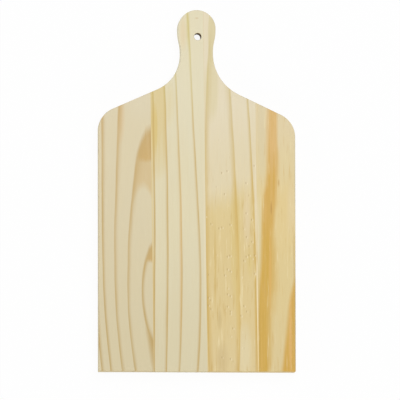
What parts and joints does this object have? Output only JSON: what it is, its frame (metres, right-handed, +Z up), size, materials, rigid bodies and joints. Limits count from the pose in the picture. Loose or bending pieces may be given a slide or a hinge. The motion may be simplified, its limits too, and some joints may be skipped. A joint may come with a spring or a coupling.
{
  "type": "cutting board",
  "caption": "Paddle-shaped cutting board of edge-glued pine staves, with sloping shoulders, a waisted handle and a drilled hanging hole.",
  "frame": {"origin": "under the middle of the board's length and width, on the surface that it lies on", "axes": "+Y from the foot to the handle, +Z up out of the working face, +X to the right when the working face is seen with the handle up"},
  "size_m": [0.2174, 0.4, 0.018],
  "materials": {
    "left_pine": "sanded, unfinished pine",
    "handle_pine": "sanded, unfinished pale pine",
    "middle_pine": "sanded, unfinished yellowish pine",
    "right_pine": "sanded, unfinished honey-coloured pine",
    "dried_glue": "cured wood glue, sanded flush"
  },
  "bodies": {
    "root": {"left_stave": "left_pine", "left_glue_line": "dried_glue", "handle_stave": "handle_pine", "handle_glue_line": "dried_glue", "middle_stave": "middle_pine", "right_glue_line": "dried_glue", "right_stave": "right_pine"}
  },
  "joints": []
}
